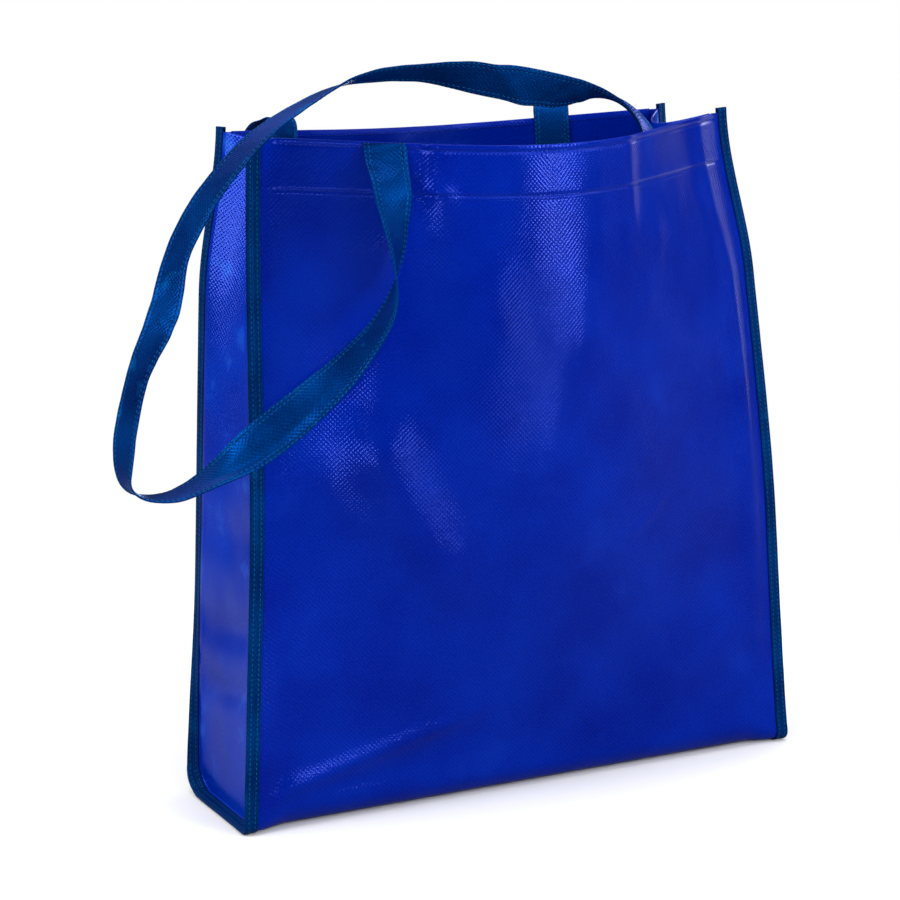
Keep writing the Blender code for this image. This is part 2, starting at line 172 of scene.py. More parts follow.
# Ridges (valleys, where negative) of the front and back: start and end, as shares of the
# panel's half width and height, then half width and height in metres.
creases = {
    "front": [
        ((-0.5, 1.02), (-0.5, 0.88), 0.006, -0.0018),
        ((-0.44, 1.02), (-0.42, 0.9), 0.008, 0.0022),
        ((-0.48, 0.935), (-0.38, 0.925), 0.004, 0.001),
        ((-0.24, 1.0), (-0.2, 0.84), 0.016, -0.0008),
        ((0.18, 1.02), (0.02, 0.6), 0.024, 0.0018),
        ((0.34, 1.02), (0.31, 0.8), 0.009, 0.0017),
        ((0.46, 0.86), (0.36, 0.72), 0.012, 0.001),
        ((0.8, 1.02), (0.9, 0.74), 0.008, 0.0007),
        ((0.86, 1.02), (0.87, 0.86), 0.008, 0.0012),
        ((-0.56, 0.9), (-0.64, 0.7), 0.018, 0.0014),
        ((-0.66, 0.72), (-0.61, 0.52), 0.018, 0.003),
        ((-0.665, 0.555), (-0.36, 0.315), 0.018, 0.0049),
        ((-0.84, 0.46), (-0.52, 0.2), 0.03, -0.0015),
        ((-0.92, 0.02), (-0.27, 0.1), 0.0055, 0.0024),
        ((-0.92, -0.02), (-0.27, 0.06), 0.008, -0.001),
        ((0.9, 0.74), (0.95, 0.26), 0.01, 0.0022),
        ((0.33, 0.37), (0.47, 0.42), 0.0018, 0.0008),
        ((0.5, 0.1), (0.95, 0.2), 0.024, 0.002),
        ((-0.94, 0.24), (-0.93, 0.02), 0.006, -0.001),
    ],
    "back": [
        ((-0.55, 1.02), (-0.45, 0.8), 0.014, 0.0016),
        ((0.5, 1.02), (0.42, 0.76), 0.012, 0.0016),
        ((-0.35, 0.64), (0.4, 0.34), 0.03, 0.0036),
        ((0.88, 0.05), (0.2, 0.18), 0.01, 0.0016),
        ((-0.9, 0.04), (-0.25, 0.15), 0.01, 0.0014),
        ((-0.9, 0.7), (-0.82, 0.35), 0.012, 0.0014),
        ((0.1, 1.02), (0.06, 0.8), 0.018, -0.0012),
    ],
}
relief = {
    "creaseWidth": 0.92,  # the creases are placed on this share of the base's width
    "creasePast": 0.25,  # how far a crease passes its ends, and fades there (shares)
    "creaseFade": (0.4, 0.5),
    "ripples": [(0.00045, 0.045), (0.00010, 0.011)],  # height and size, broad and fine
    "seed": {"front": 3.0, "back": 11.0},
    "seamFade": 0.08,  # shares of the panel over which these fade out
    "baseFade": 0.02,
    "seamDip": 0.00065,  # how deep the two seams pull the cloth in, and how widely
    "seamHalf": 0.0011,
    "hemStep": 0.00035,  # the hem's second layer stands out this much
    "hemEdge": 0.0012,
    "hemFade": 0.02,
}


def creaseHeight(face, u, v):
    # metres outwards from the plain panel
    scale = np.array((halfWidth * relief["creaseWidth"], bag["height"]))
    x, z = u * scale[0], v * scale[1]
    total = np.zeros_like(x)
    past, fade = relief["creasePast"], relief["creaseFade"]
    for start, end, half, height in creases[face]:
        startX, startZ = scale * start
        dx, dz = scale * end - scale * start
        length = math.hypot(dx, dz)
        along = ((x - startX) * dx + (z - startZ) * dz) / length**2
        aside = ((x - startX) * dz - (z - startZ) * dx) / length
        ends = smooth((along + past) / fade[0]) * smooth((1 + past - along) / fade[1])
        total += height * hill(aside, 0.0, half) * ends
    for index in range(len(x)):
        place = Vector((x[index], z[index], relief["seed"][face]))
        for height, size in relief["ripples"]:
            total[index] += height * noise.noise(place / size)
    total *= smooth((1 - np.abs(u)) / relief["seamFade"]) * smooth(v / relief["baseFade"])
    depth = (1 - v) * panelSpan
    edge = (bag["hemDepth"] + relief["hemEdge"] / 2 - depth) / relief["hemEdge"]
    band = relief["hemStep"] * smooth(edge)
    for line in (bag["rimStitch"], bag["hemStitch"]):
        band = band - relief["seamDip"] * hill(depth, line, relief["seamHalf"])
    return total + band * smooth((bag["hemReach"] - np.abs(u)) / relief["hemFade"])


def creasedPanel(face, u, v):
    # as panelFrame, with the point on the creased panel
    v = v + np.zeros_like(u)
    point, down, inward = panelFrame(face, u, v)
    return point - inward * creaseHeight(face, u, v)[:, None], down, inward


def hemPoint(face, u, depth):
    v = 1 - depth / (bag["height"] - turnRadius(face, u))
    point, down, inward = creasedPanel(face, u, v)
    return point + inward * 2 * rimRadius, down, inward


def foldIn(point, down, inward, angle):
    # the sheet turns round the rim by this angle
    swing = math.radians(angle)
    return point + inward * rimRadius * (1 - math.cos(swing)) - down * rimRadius * math.sin(swing)


def turnPoint(face, u, angle):
    radius = turnRadius(face, u)
    swing = math.radians(angle)
    y = outwardY(face) * (bag["depth"] / 2 - radius * (1 - math.cos(swing)))
    z = towardsSeam(u, seamLift, 0.0) + radius * (1 - math.sin(swing))
    return stack(acrossX(face, u, 0.0), y, z)


def basePoint(u, share):
    front = turnPoint("front", u, 90.0)
    return front + (turnPoint("back", u, 90.0) - front) * share


# Rows of the body sheet, from rim to rim under the base.
rowCount = {
    "turn": 8, "base": 36, "fold": 6, "hem": 8, "across": 120, "below": 104, "stitch": 300,
    # depths of the rows at and between the two seams: start, end and step
    "seams": [(0.0, 0.0066, 0.0006), (0.0095, 0.0260, 0.0030), (0.0268, 0.0338, 0.0006)],
    "belowStart": 0.0365,
}
coarse = {"turn": 4, "level": 11, "spacing": 1.2}  # steps at which the fins turn


def evenSteps(whole, count):
    return [whole * step / count for step in range(1, count + 1)]


turnAngles = evenSteps(90.0, rowCount["turn"])
foldAngles = evenSteps(180.0, rowCount["fold"])
hemDepths = evenSteps(bag["hemDepth"], rowCount["hem"])


def panelLevels():
    depths = [np.arange(*span) for span in rowCount["seams"]]
    depths.append(np.linspace(rowCount["belowStart"], panelSpan, rowCount["below"]))
    return list(1 - np.concatenate(depths) / panelSpan)


def ringStations():
    # each is a kind, a face and a parameter
    def panelAndTurn(face):
        stations = [("panel", face, v) for v in panelLevels()]
        return stations + [("turn", face, angle) for angle in turnAngles]

    base = [("base", "front", step / rowCount["base"]) for step in range(1, rowCount["base"])]
    return panelAndTurn("front") + base + panelAndTurn("back")[::-1]


def stationPoints(station, u, plain=False):
    kind, face, value = station
    u = np.atleast_1d(u)
    if kind == "panel":
        return plainPanel(face, u, value) if plain else creasedPanel(face, u, value)[0]
    if kind == "turn":
        return turnPoint(face, u, value)
    return basePoint(u, value)


def finTurnAt(station, side):
    kind, face, value = station
    if face == "front":
        return 0.0
    if kind == "turn":
        step = coarse["turn"] * (1 - value / 90.0)
    else:
        step = coarse["turn"] + coarse["level"] * (1 - (1 - value) ** (1 / coarse["spacing"]))
    return bag["finTurn"][side] * smooth((step - 1) / (coarse["turn"] + 2))


def seamFrames(side):
    # seam points, fin directions and outside directions of all stations
    stations = ringStations()
    points = np.array([stationPoints(s, side, True)[0] for s in stations])
    inner = np.array([stationPoints(s, side * bag["hemReach"], True)[0] for s in stations])
    fins, outsides = [], []
    for index, station in enumerate(stations):
        before = points[max(index - 1, 0)]
        after = points[min(index + 1, len(points) - 1)]
        along = unit(after - before)
        outwards = points[index] - inner[index]
        outwards[1] *= bag["finFollow"]
        outwards = unit(outwards - along * outwards.dot(along))
        facing = side * np.cross(along, outwards)
        turned = math.radians(finTurnAt(station, side))
        fins.append(outwards * math.cos(turned) + facing * math.sin(turned))
        outsides.append(facing * math.cos(turned) - outwards * math.sin(turned))
    return points, np.array(fins), np.array(outsides)


ringFrames = {side: seamFrames(side) for side in (-1, 1)}


def addObject(name, data):
    item = bpy.data.objects.new(name, data)
    bpy.context.collection.objects.link(item)
    return item


def clothPiece(name, points, faces, uvs, materials):
    # uvs are in metres, one for each point
    mesh = bpy.data.meshes.new(name)
    mesh.from_pydata(points, [], faces)
    numbers = np.empty(len(mesh.loops), dtype=np.int32)
    mesh.loops.foreach_get("vertex_index", numbers)
    layer = mesh.uv_layers.new(name="cloth")
    layer.data.foreach_set("uv", np.array(uvs)[numbers].ravel())
    mesh.shade_smooth()
    for material in materials:
        mesh.materials.append(material)
    return addObject(name, mesh)


def pieceFromGrid(name, grid, uvs, materials, flipped=False, closed=False):
    # a grid of points where rows or ends may be missing (nan)
    present = ~np.isnan(grid[..., 0])
    numbers = np.full(present.shape, -1)
    numbers[present] = np.arange(present.sum())
    wide = grid.shape[1] if closed else grid.shape[1] - 1
    other = np.roll(numbers, -1, axis=1)
    corners = (numbers[:-1, :wide], numbers[1:, :wide], other[1:, :wide], other[:-1, :wide])
    faces = np.stack(corners, axis=-1).reshape(-1, 4)
    faces = faces[faces.min(axis=1) >= 0]
    if flipped:
        faces = faces[:, ::-1]
    return clothPiece(name, grid[present].tolist(), faces.tolist(), uvs[present], materials)


def uvGrid(wide, lengths):
    return np.stack(np.broadcast_arrays(wide[None, :], -lengths[:, None]), axis=-1)


def thicken(item, thickness, inside=False):
    solidify = item.modifiers.new("thickness", "SOLIDIFY")
    solidify.thickness = thickness
    solidify.use_even_offset = True
    solidify.use_quality_normals = True
    if inside:
        solidify.material_offset = 1  # the second material on the inside


def feed(tree, socket, value):
    # a link, a colour without its alpha, or a plain value
    if isinstance(value, bpy.types.NodeSocket):
        tree.links.new(value, socket)
    elif socket.type == "RGBA":
        socket.default_value = (*value, 1.0)
    else:
        socket.default_value = value


def node(tree, kind, inputs=(), output=0, **settings):
    # adds a node and gives one of its outputs; inputs go by name or in order
    made = tree.nodes.new("ShaderNode" + kind)
    for key, value in settings.items():
        setattr(made, key, value)
    for key, value in inputs.items() if isinstance(inputs, dict) else enumerate(inputs):
        feed(tree, made.inputs[key], value)
    return made.outputs[output] if made.outputs else None


def sums(tree, operation, first, second):
    return node(tree, "Math", (first, second), operation=operation)


def average(tree, first, second):
    return sums(tree, "MULTIPLY", sums(tree, "ADD", first, second), 0.5)


def spread(tree, value, old, new=(0.0, 1.0), **settings):
    return node(tree, "MapRange", (value, *old, *new), **settings)


def cloud(tree, place, scale, detail=3.0):
    return node(tree, "TexNoise", {"Vector": place, "Scale": scale, "Detail": detail}, "Fac")


def mixColour(tree, share, first, second, blend="MIX"):
    return node(tree, "MixRGB", (share, first, second), blend_type=blend)


def newMaterial(name):
    material = bpy.data.materials.new(name)
    material.use_nodes = True
    return material, material.node_tree


def setShader(tree, inputs):
    for key, value in inputs.items():
        feed(tree, tree.nodes["Principled BSDF"].inputs[key], value)


# What all laminated cloths have in common.
cloth = {
    "detail": {"patch": 7.0, "fibre": 4.0, "dent": 2.0, "scuff": 6.0},
    # the part of each pattern's range that counts
    "mottle": (0.38, 0.62),
    "scuff": (0.60, 0.78),
    "groove": (0.1, 0.7),
    "patch": (0.3, 0.7),
    "scuffRough": 0.25,
    "hatchAngles": (45.0, -45.0),
    "hatchPeriod": 0.314,  # of the wave texture itself
    "hatchWave": {"Distortion": 0.25, "Detail": 1.0, "Detail Scale": 1.5},
    # where one set of lines stands out more: scale, range and effect
    "hatchTurn": (9.0, (0.35, 0.65), (0.05, 0.60)),
}


def crossHatch(tree, place, pitch):
    # two crossing sets of fine raised lines, of which now one and now the other stands out
    lines = []
    wave = {"Scale": cloth["hatchPeriod"] / pitch, **cloth["hatchWave"]}
    for angle in cloth["hatchAngles"]:
        turn = {"Vector": place, "Rotation": (0.0, 0.0, math.radians(angle))}
        wave["Vector"] = node(tree, "Mapping", turn)
        lines.append(node(tree, "TexWave", wave, "Fac"))
    scale, old, new = cloth["hatchTurn"]
    share = spread(tree, cloud(tree, place, scale, 1.0), old, new)
    crossed = sums(tree, "MAXIMUM", *lines)
    return average(tree, crossed, mixColour(tree, share, *lines))


def laminate(name, look):
    # bonded cloth under a thin film: mottled colour, embossed hatch with painted shade in its
    # grooves, dents, and rough scuffs painted lighter as sheen
    material, tree = newMaterial(name)
    place = node(tree, "UVMap", uv_map="cloth")
    heights = {
        kind: cloud(tree, place, look[kind + "Scale"], detail)
        for kind, detail in cloth["detail"].items()
    }
    heights["hatch"] = crossHatch(tree, place, look["pitch"])
    mottle = spread(tree, average(tree, heights["patch"], heights["fibre"]), cloth["mottle"])
    colour = mixColour(tree, mottle, look["dark"], look["light"])
    # painted sheen: the scuffed patches are rougher and are also painted a lighter colour
    scuffAndSheen = sums(tree, "MULTIPLY", spread(tree, heights["scuff"], cloth["scuff"]), look["scuffAndSheenShare"])
    colour = mixColour(tree, scuffAndSheen, colour, look["scuffAndSheen"])
    # painted shade: the colour darkens in the grooves of the embossed hatch
    grooves = spread(tree, heights["hatch"], cloth["groove"], (1 - look["paintedGrooveShade"], 1.0))
    rough = spread(tree, heights["patch"], cloth["patch"], look["rough"])
    bump = {}
    for kind in ("dent", "hatch", "fibre"):
        bump.update({"Height": heights[kind], "Distance": look[kind + "Depth"]})
        bump["Normal"] = node(tree, "Bump", bump)
    setShader(tree, {
        "Base Color": mixColour(tree, 1.0, colour, grooves, "MULTIPLY"),
        "Roughness": sums(tree, "ADD", rough, sums(tree, "MULTIPLY", scuffAndSheen, cloth["scuffRough"])),
        "Normal": bump["Normal"],
        "Metallic": look["film"],  # coloured shine of the film
        "Specular IOR Level": look["gloss"],
        "Specular Tint": look["glossTint"],
    })
    return material


# Colours, rough scuffs with painted sheen, patterns and shine of each cloth.
sheetLook = dict(
    dark=(0.0, 0.007, 0.220), light=(0.0, 0.018, 0.335), scuffAndSheen=(0.004, 0.040, 0.480),
    scuffAndSheenShare=0.35, patchScale=16.0, fibreScale=900.0, dentScale=170.0, scuffScale=14.0,
    pitch=0.0020, paintedGrooveShade=0.15, hatchDepth=0.00011, fibreDepth=0.00002, dentDepth=0.00006,
    rough=(0.09, 0.15), film=0.09, gloss=0.20, glossTint=(0.32, 0.44, 1.0),
)
# the inner side: rough and without film, and also painted darker as shade inside the bag
insideLook = dict(
    sheetLook,
    dark=(0.0, 0.005, 0.200), light=(0.0, 0.012, 0.310),
    rough=(0.40, 0.55), film=0.0, gloss=0.14,
)
# painted light: the gussets are cut from the same sheet, and this copy is painted lighter, with
# brighter scuffs, where light falls more on the bag's sides
litGussetLook = dict(
    sheetLook,
    dark=(0.0, 0.014, 0.300), light=(0.0, 0.036, 0.480), scuffAndSheen=(0.014, 0.110, 0.620),
    scuffAndSheenShare=0.85, scuffScale=32.0,
)
tapeLook = dict(
    sheetLook,
    dark=(0.0, 0.008, 0.060), light=(0.0, 0.032, 0.155), scuffAndSheen=(0.0, 0.075, 0.260),
    scuffAndSheenShare=0.45, patchScale=22.0, fibreScale=1100.0, dentScale=240.0, scuffScale=40.0,
    paintedGrooveShade=0.30, hatchDepth=0.00008, fibreDepth=0.00003,
    rough=(0.30, 0.42), film=0.15, gloss=0.08, glossTint=(0.0, 0.36, 1.0),
)
strapLook = dict(
    tapeLook,
    dark=(0.0, 0.010, 0.085), light=(0.0, 0.044, 0.225), scuffAndSheen=(0.0, 0.110, 0.380),
    scuffAndSheenShare=0.7, scuffScale=55.0, paintedGrooveShade=0.34, hatchDepth=0.00012,
    rough=(0.20, 0.34), film=0.38, gloss=0.03,
)

sheetMaterial = laminate("laminatedSheet", sheetLook)
insideMaterial = laminate("laminatedSheetInside", insideLook)
litGussetMaterial = laminate("laminatedGussetLitCopy", litGussetLook)
tapeMaterial = laminate("bindingTape", tapeLook)
strapMaterial = laminate("strapCloth", strapLook)

thread = {
    "pitch": 0.0030, "length": 0.0023, "radius": 0.00028, "sides": 5,
    # height and thickness of the rings of one stitch, as shares of its radius
    "rings": [(-0.9, 0.35), (0.1, 0.95), (0.1, 0.95), (-0.9, 0.35)],
    "uvStep": (0.0003, 0.0007),
    "insideStart": 0.0015,  # stitches on the inside lie between those on the outside
    "tealColour": (0.002, 0.080, 0.225),
    # the hem thread: the sheet's blue, painted darker as shade of the stitch dips it lies in
    "blueColour": (0.0, 0.004, 0.110),
    "shades": (0.6, 1.4),
    "plyScale": 640.0, "fuzzScale": 4000.0, "plyDepth": 0.00006,
    "rough": 0.5, "gloss": 0.3, "glossTint": (0.1, 0.4, 1.0),
}


def threadMaterial(name, colour):
    # twisted thread: slanted plies, fuzz and a dull shine
    material, tree = newMaterial(name)
    place = node(tree, "UVMap", uv_map="cloth")
    wave = {"Vector": place, "Scale": thread["plyScale"]}
    plies = node(tree, "TexWave", wave, "Fac", bands_direction="DIAGONAL")
    shade = average(tree, plies, cloud(tree, place, thread["fuzzScale"]))
    dark, light = ([min(times * value, 1.0) for value in colour] for times in thread["shades"])
    bump = {"Height": shade, "Distance": thread["plyDepth"]}
    setShader(tree, {
        "Base Color": mixColour(tree, shade, dark, light),
        "Normal": node(tree, "Bump", bump),
        "Roughness": thread["rough"],
        "Specular IOR Level": thread["gloss"],
        "Specular Tint": thread["glossTint"],
    })
    return material


tealThread = threadMaterial("tealThread", thread["tealColour"])
blueThread = threadMaterial("blueThread", thread["blueColour"])
print("materials made")


def sampleAt(places, lengths, values):
    return np.stack([np.interp(places, lengths, column) for column in values.T], axis=-1)


def stitchRun(points, outwards, start=0.0):
    # one row of stitches along a line of points: a grid of rings for each stitch
    points, outwards = np.asarray(points), unit(outwards)
    lengths = lengthsAlong(points)
    directions = unit(np.gradient(points, axis=0))
    swings = 2 * np.pi * (np.arange(thread["sides"])[:, None] + 0.5) / thread["sides"]
    stitches = []
    for index in range(int((lengths[-1] - start) / thread["pitch"])):
        middle = start + (index + 0.5) * thread["pitch"]
        rings = []
        for number, (height, thickness) in enumerate(thread["rings"]):
            place = middle + thread["length"] * (number / (len(thread["rings"]) - 1) - 0.5)
            centre, along, out = (
                sampleAt(place, lengths, values) for values in (points, directions, outwards)
            )
            beside = unit(np.cross(along, out))
            centre = centre + out * height * thread["radius"]
            reach = thread["radius"] * thickness
            rings.append(centre + (out * np.cos(swings) + beside * np.sin(swings)) * reach)
        stitches.append((rings, middle))
    return stitches


def makeThread(name, runs, material):
    sides = thread["sides"]
    sideStep, ringStep = thread["uvStep"]
    points, faces, uvs = [], [], []
    for rings, middle in (stitch for stitches in runs for stitch in stitches):
        first = len(points)
        for number, ring in enumerate(rings):
            for side, point in enumerate(ring):
                points.append(tuple(point))
                uvs.append((side * sideStep, middle + number * ringStep))
        for number in range(len(rings) - 1):
            low = first + number * sides
            for side in range(sides):
                other = (side + 1) % sides
                faces.append((low + side, low + other, low + sides + other, low + sides + side))
        faces.append(tuple(range(first, first + sides))[::-1])
        faces.append(tuple(range(len(points) - sides, len(points))))
    item = clothPiece(name, points, faces, uvs, [material])
    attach(item, "root")


# The body sheet: hem, front, base, back and hem in one piece.
def makeBodySheet():
    u = bag["hemReach"] * (2 * np.arange(rowCount["across"] + 1) / rowCount["across"] - 1)
    blank = np.full((2, 3), np.nan)  # the fins have no hem

    def hemRows(face):
        rim = creasedPanel(face, u, 1.0)
        rows = [foldIn(*rim, angle) for angle in foldAngles]
        rows += [hemPoint(face, u, depth)[0] for depth in hemDepths]
        return [np.vstack([blank, points, blank]) for points in rows]

    middle = [stationPoints(station, u) for station in ringStations()]
    left, right = (
        np.stack([seams, seams + fins * flangeReach], axis=1)
        for seams, fins, outsides in (ringFrames[-1], ringFrames[1])
    )
    rows = np.concatenate([left[:, ::-1], middle, right], axis=1)
    grid = np.concatenate([hemRows("front")[::-1], rows, hemRows("back")])
    wide = np.concatenate([[-1.04, -1.0], u, [1.0, 1.04]]) * halfWidth
    uvs = uvGrid(wide, lengthsAlong(grid[:, grid.shape[1] // 2]))
    item = pieceFromGrid("bodySheet", grid, uvs, [sheetMaterial, insideMaterial])
    thicken(item, bag["sheet"], True)
    return item


bodyPiece = makeBodySheet()
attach(bodyPiece, "root")
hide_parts("body_sheet")

seamRuns = []
for face in ("front", "back"):
    for depth in (bag["rimStitch"], bag["hemStitch"]):
        u = np.linspace(-bag["stitchReach"], bag["stitchReach"], rowCount["stitch"])
        outside, down, inward = creasedPanel(face, u, 1 - depth / panelSpan)
        inside = outside + inward * (2 * rimRadius + bag["sheet"])
        seamRuns.append(stitchRun(outside, -inward))
        seamRuns.append(stitchRun(inside, inward, thread["insideStart"]))
makeThread("seamThread", seamRuns, blueThread)
print("body sheet made")

# The two gussets, one on each side.
gusset = {
    "pleat": 0.020, "pleatStart": 0.30, "rimSag": 0.0070,
    "seamBend": 0.0010, "bendSteps": 3,
    "offset": -(2 * bag["sheet"] + bag["gap"]),
    "wrinkle": 0.0011,
    # share of the wrinkle, scale across and up, and seed
    "wrinkles": [(1.0, 2.2, 5.0, 7.0), (0.35, 5.0, 16.0, 2.0)],
    "calmRows": 20,  # above the base
    # level folds: height on the bag, half height and how far they stand out
    "folds": [
        (0.105, 0.012, -0.0044),
        (0.066, 0.010, -0.0034),
        (0.165, 0.016, -0.0026),
        (0.285, 0.030, 0.0016),
    ],
    "foldSlant": 0.02,
    "flangeUvs": (0.05, 0.0503, 0.0506, 0.051, 0.058),
    "hemUvStep": 0.0005,
    "flat": (0.117, 0.444),
}


def gussetChain(side):
    chain = []
    for seam, fin, outside in zip(*ringFrames[side]):
        centre = seam + outside * (gusset["offset"] - gusset["seamBend"])
        strip = []
        for step in range(gusset["bendSteps"] + 1):
            swing = math.pi / 2 * step / gusset["bendSteps"]
            reach = outside * math.sin(swing) - fin * math.cos(swing)
            strip.append(centre + reach * gusset["seamBend"])
        strip.append(seam + outside * gusset["offset"] + fin * flangeReach)
        chain.append(strip)
    return np.array(chain)


def gussetWrinkle(side, share, height):
    value = 0.0
    for part, across, up, seed in gusset["wrinkles"]:
        value += part * noise.noise(Vector((share * across, height * up, seed + side)))
    value *= gusset["wrinkle"]
    for level, half, depth in gusset["folds"]:
        slant = gusset["foldSlant"] * (share - 0.5) * side
        value -= depth * hill(height * bag["height"], level + slant, half)
    return value * math.sin(math.pi * share) ** 0.5


def makeGusset(name, side):
    chain = gussetChain(side)
    edge = chain[:, 0]
    heights = panelLevels() + [0.0] * rowCount["turn"]
    shares = np.arange(rowCount["base"] + 1) / rowCount["base"]
    grid = []
    for row, height in enumerate(heights[:-1]):
        front, back = edge[row], edge[-1 - row]
        pleat = smooth((height - gusset["pleatStart"]) / (1 - gusset["pleatStart"]))
        calm = min(1.0, (len(heights) - row) / gusset["calmRows"])
        line = [front]
        for share in shares[1:-1]:
            hollow = math.sin(math.pi * share)
            push = gusset["pleat"] * pleat * hollow + gussetWrinkle(side, share, height) * calm
            drop = gusset["rimSag"] * height * hollow
            line.append(front + (back - front) * share + np.array((-side * push, 0.0, -drop)))
        grid.append(line + [back])
    grid.append(edge[len(grid) : len(grid) + len(shares)])  # along the base
    grid = np.array(grid)
    uvs = uvGrid((shares - 0.5) * bag["depth"], lengthsAlong(grid[:, 0]))
    # rim hem of the gusset
    top = grid[0]
    down = unit(grid[1] - top)
    inward = unit(np.cross(np.gradient(top, axis=0), down))
    inward[inward[:, 0] * side > 0] *= -1
    hem = [foldIn(top, down, inward, angle) for angle in foldAngles]
    hem = np.array(hem + [hem[-1] + down * depth for depth in hemDepths])
    hem[:, [0, -1]] = np.nan
    hemUvs = [uvs[0] + (0.0, gusset["hemUvStep"] * (row + 1)) for row in range(len(hem))]
    grid, uvs = np.concatenate([hem[::-1], grid]), np.concatenate([hemUvs[::-1], uvs])
    stripUvs = uvGrid(np.array(gusset["flangeUvs"]), lengthsAlong(ringFrames[side][0]))
    # the gussets take the lighter copy of the sheet, whose extra brightness is painted light
    materials = [litGussetMaterial, insideMaterial]
    item = pieceFromGrid(name, grid, uvs, materials, flipped=side < 0)
    joinInto(item, pieceFromGrid(name + "Flange", chain, stripUvs, materials, flipped=side > 0))
    thicken(item, bag["sheet"], True)
    return item


def joinInto(item, other):
    mesh = bmesh.new()
    mesh.from_mesh(item.data)
    mesh.from_mesh(other.data)
    bmesh.ops.remove_doubles(mesh, verts=mesh.verts, dist=0.00001)
    mesh.to_mesh(item.data)
    mesh.free()
    bpy.data.objects.remove(other)


for word, side in (("left", -1), ("right", 1)):
    piece = makeGusset(word + "Gusset", side)
    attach(piece, "root")
    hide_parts(word + "_gusset")
print("gussets made")

# The tapes folded over the raw edges of the seams.
binding = {
    "width": bag["finWidth"],
    "thickness": 0.0004,
    "lip": 0.0006, "lipStep": 0.0004, "flatSteps": 15, "foldSteps": 8,
    "overRim": 0.0025,
    "rows": (0.0024, 0.0064),  # the two stitch rows, from the seam outwards
    "valley": (0.0044, 0.0008, 0.00028),  # place, half width and depth
    "pull": (0.0007, 0.00016),  # how widely and how deep each stitch pulls the tape in
    "waver": 0.00012,  # how uneven the two edges are
    "waverScale": 60.0, "lipWaver": (0.0010, 0.0012), "edgeWaver": 0.006,
    "threadSink": 0.0001, "innerStart": 0.0008,
}
finMiddle = bag["gap"] + bag["sheet"] - stackHeight / 2


def bindingProfile():
    # reach from the seam, height above the middle of the fin, and side of the fold
    top = stackHeight / 2
    lip, foldStart = binding["lip"], binding["width"] - top
    flat = np.linspace(lip + binding["lipStep"], foldStart, binding["flatSteps"])
    reaches = np.concatenate([[lip], flat])
    profile = [(reach, top, 1) for reach in reaches]
    for step in range(1, binding["foldSteps"]):
        swing = math.pi * step / binding["foldSteps"]
        profile.append((foldStart + top * math.sin(swing), top * math.cos(swing), 0))
    return profile + [(reach, -top, -1) for reach in reaches[::-1]]


def denseFrames(side, spacing):
    # frames of the fin at an even spacing, from just above one rim to above the other
    seams, fins, outsides = ringFrames[side]
    lengths = lengthsAlong(seams)
    over = rimRadius + binding["overRim"]
    count = int((lengths[-1] + 2 * over) / spacing)
    places = np.linspace(-over, lengths[-1] + over, count + 1)
    inside = np.clip(places, 0.0, lengths[-1])
    points, fins, outsides = (sampleAt(inside, lengths, v) for v in (seams, fins, outsides))
    points += unit(seams[0] - seams[1]) * np.maximum(-places, 0.0)[:, None]
    points += unit(seams[-1] - seams[-2]) * np.maximum(places - lengths[-1], 0.0)[:, None]
    return places, points, unit(fins), unit(outsides)


def makeBinding(name, side):
    profile = bindingProfile()
    valley, valleyHalf, valleyDepth = binding["valley"]
    pullHalf, pullDepth = binding["pull"]
    grid, uvs = [], []
    for place, seam, fin, outside in zip(*denseFrames(side, thread["pitch"] / 4)):
        pull = 0.5 + 0.5 * math.cos(2 * math.pi * place / thread["pitch"])
        spot = Vector((place * binding["waverScale"], side * 3.0, 0.5))
        waver = binding["waver"] * noise.noise(spot)
        line, flat = [], []
        for reach, height, face in profile:
            dip = waver * hill(reach, *binding["lipWaver"])
            dip -= valleyDepth * hill(reach, valley, valleyHalf)
            for row in binding["rows"]:
                dip -= pullDepth * pull * hill(reach, row, pullHalf)
            flat.append((reach, height + face * dip))
            reached = reach + waver * (reach > binding["edgeWaver"])
            line.append(seam + fin * reached + outside * (finMiddle + flat[-1][1]))
        grid.append(line)
        uvs.append([(walked, place) for walked in lengthsAlong(flat)])
    grid, uvs = np.array(grid), np.array(uvs)
    item = pieceFromGrid(name, grid, uvs, [tapeMaterial], flipped=side < 0)
    thicken(item, binding["thickness"])
    return item


def bindingRuns(side):
    # the stitch rows on both faces of a fin
    places, seams, fins, outsides = denseFrames(side, thread["pitch"] / 2)
    runs = []
    for row in binding["rows"]:
        for face, start in ((1, 0.0), (-1, binding["innerStart"])):
            height = finMiddle + face * (stackHeight / 2 - binding["threadSink"])
            points = seams + fins * row + outsides * height
            runs.append(stitchRun(points, outsides * face, start))
    return runs


for word, side in (("left", -1), ("right", 1)):
    piece = makeBinding(word + "Binding", side)
    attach(piece, "root")
    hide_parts(word + "_binding")
    makeThread(word + "BindingThread", bindingRuns(side), tealThread)
print("bindings made")

